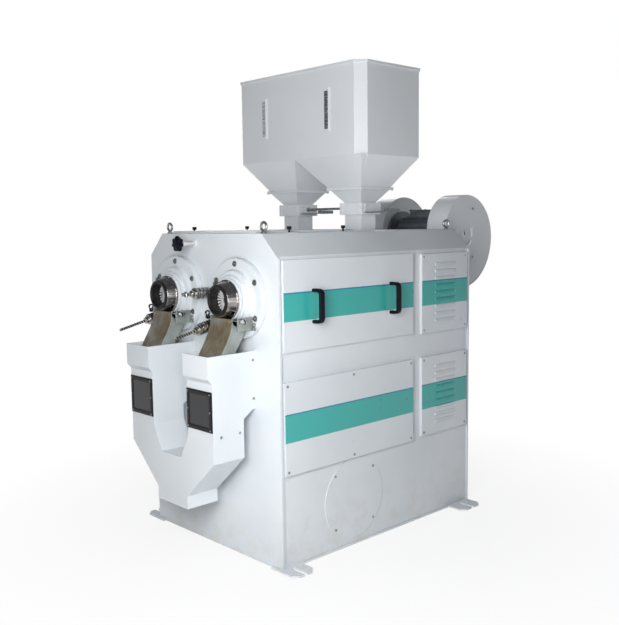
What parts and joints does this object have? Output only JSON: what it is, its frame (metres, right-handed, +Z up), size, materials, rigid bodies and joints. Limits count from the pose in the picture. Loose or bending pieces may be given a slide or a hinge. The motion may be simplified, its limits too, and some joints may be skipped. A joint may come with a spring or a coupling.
{
  "type": "rice whitening machine",
  "caption": "Floor-standing cabinet rice whitener with an overhead feed hopper, paired discharge heads over a forked collecting hopper, side doors and rear suction fans.",
  "frame": {"origin": "on the floor, in the middle of the cabinet's footprint", "axes": "+Z up, -Y towards the discharge end, +X towards the right-hand doors seen from the discharge end"},
  "size_m": [1.11, 1.9931, 2.148],
  "materials": {
    "white_paint": "smooth gloss enamel",
    "white_cast": "enamelled machined casting",
    "galvanised": "plain sheet",
    "bare_steel": "bare rolled sheet",
    "dark_steel": "turned and blackened",
    "bright_steel": "machined",
    "zinc_screw": "zinc plated",
    "black_plastic": "moulded",
    "black_paint": "satin",
    "motor_paint": "machine enamel",
    "aluminium": "cast",
    "belt_rubber": "fabric faced",
    "dark_glass": "tinted acrylic",
    "clear_glass": "clear acrylic"
  },
  "bodies": {
    "machine": {"base_frame": "white_paint", "bearing_housings": "motor_paint", "bearing_wall": "white_paint", "bran_hopper": "galvanised", "cabinet_shell": "white_paint", "chamber_flanges": "white_cast", "collecting_hopper": "white_paint", "discharge_cones": "dark_steel", "discharge_spouts": "bare_steel", "drive_belts": "belt_rubber", "end_rings": "black_paint", "fan_housing_left": "white_paint", "fan_housing_right": "white_paint", "fan_motor": "motor_paint", "fan_shelf": "white_paint", "feed_hopper": "white_paint", "feed_housings": "white_cast", "feed_necks": "white_paint", "flange_bolts": "dark_steel", "front_plate": "white_paint", "gate_tie_rod": "zinc_screw", "hopper_sight_strips": "clear_glass", "hopper_windows": "dark_glass", "lifting_eyes": "zinc_screw", "louvre_panels_left": "white_paint", "louvre_panels_right": "white_paint", "lower_panel_left": "white_paint", "lower_panel_right": "white_paint", "main_motors": "motor_paint", "rear_plate": "white_paint", "roof_panel": "white_paint", "round_covers": "white_paint", "screen_cages": "bright_steel", "weight_peg": "dark_steel", "window_frames": "black_paint"},
    "shaft_assembly_left": {"main_shaft_left": "bright_steel", "milling_roller_left": "dark_steel", "driven_pulley_left": "dark_steel"},
    "shaft_assembly_right": {"main_shaft_right": "bright_steel", "milling_roller_right": "dark_steel", "driven_pulley_right": "dark_steel"},
    "motor_spindle_left": {"motor_rotor_left": "dark_steel"},
    "motor_spindle_right": {"motor_rotor_right": "dark_steel"},
    "fan_wheels": {"fan_rotor": "aluminium"},
    "gate_left": {"slide_gate_left": "bright_steel"},
    "gate_right": {"slide_gate_right": "bright_steel"},
    "lever_left": {"pressure_lever_left": "bright_steel"},
    "lever_right": {"pressure_lever_right": "bright_steel"},
    "weights_left": {"lever_weights_left": "dark_steel"},
    "weights_right": {"lever_weights_right": "dark_steel"},
    "star_grip": {"star_knob": "black_plastic"},
    "side_door_left": {"door_left": "white_paint", "door_handles_left": "black_plastic"},
    "side_door_right": {"door_right": "white_paint", "door_handles_right": "black_plastic"},
    "service_cover": {"top_cover": "white_paint", "cover_knobs": "black_plastic"}
  },
  "joints": [
    {"name": "main_shaft_spin_left", "type": "hinge", "parent": "machine", "child": "shaft_assembly_left", "pos_m": [-0.218, 0, 1.127], "axis": [0, 1, 0], "continuous": true},
    {"name": "motor_spin_left", "type": "hinge", "parent": "machine", "child": "motor_spindle_left", "pos_m": [-0.218, 0.38, 0.188], "axis": [0, 1, 0], "continuous": true},
    {"name": "gate_slide_left", "type": "slide", "parent": "machine", "child": "gate_left", "axis": [-1, 0, 0], "range_m": [0, 0.105]},
    {"name": "pressure_lever_swing_left", "type": "hinge", "parent": "machine", "child": "lever_left", "pos_m": [-0.218, -0.738, 1.048], "axis": [1, 0, 0], "range_deg": [-25, 0]},
    {"name": "weight_slide_left", "type": "slide", "parent": "lever_left", "child": "weights_left", "axis": [0, -0.9744, -0.225], "range_m": [0, 0.07]},
    {"name": "door_lift_off_left", "type": "slide", "parent": "machine", "child": "side_door_left", "axis": [-1, 0, 0], "range_m": [0, 0.25]},
    {"name": "main_shaft_spin_right", "type": "hinge", "parent": "machine", "child": "shaft_assembly_right", "pos_m": [0.218, 0, 1.127], "axis": [0, 1, 0], "continuous": true},
    {"name": "motor_spin_right", "type": "hinge", "parent": "machine", "child": "motor_spindle_right", "pos_m": [0.218, 0.38, 0.188], "axis": [0, 1, 0], "continuous": true},
    {"name": "gate_slide_right", "type": "slide", "parent": "machine", "child": "gate_right", "axis": [-1, 0, 0], "range_m": [0, 0.105]},
    {"name": "pressure_lever_swing_right", "type": "hinge", "parent": "machine", "child": "lever_right", "pos_m": [0.218, -0.738, 1.048], "axis": [1, 0, 0], "range_deg": [-25, 0]},
    {"name": "weight_slide_right", "type": "slide", "parent": "lever_right", "child": "weights_right", "axis": [0, -0.9744, -0.225], "range_m": [0, 0.07]},
    {"name": "door_lift_off_right", "type": "slide", "parent": "machine", "child": "side_door_right", "axis": [1, 0, 0], "range_m": [0, 0.25]},
    {"name": "fan_spin", "type": "hinge", "parent": "machine", "child": "fan_wheels", "pos_m": [0, 0.84, 1.375], "axis": [1, 0, 0], "continuous": true},
    {"name": "star_knob_turn", "type": "hinge", "parent": "machine", "child": "star_grip", "pos_m": [-0.1, -0.72, 1.356], "axis": [0, 1, 0], "range_deg": [0, 360]},
    {"name": "service_cover_lift", "type": "slide", "parent": "machine", "child": "service_cover", "axis": [0, 0, 1], "range_m": [0, 0.15]}
  ],
  "couplings": [
    {"joint": "motor_spin_left", "follows": "main_shaft_spin_left", "ratio": 1.5625},
    {"joint": "motor_spin_right", "follows": "main_shaft_spin_right", "ratio": 1.5625}
  ]
}
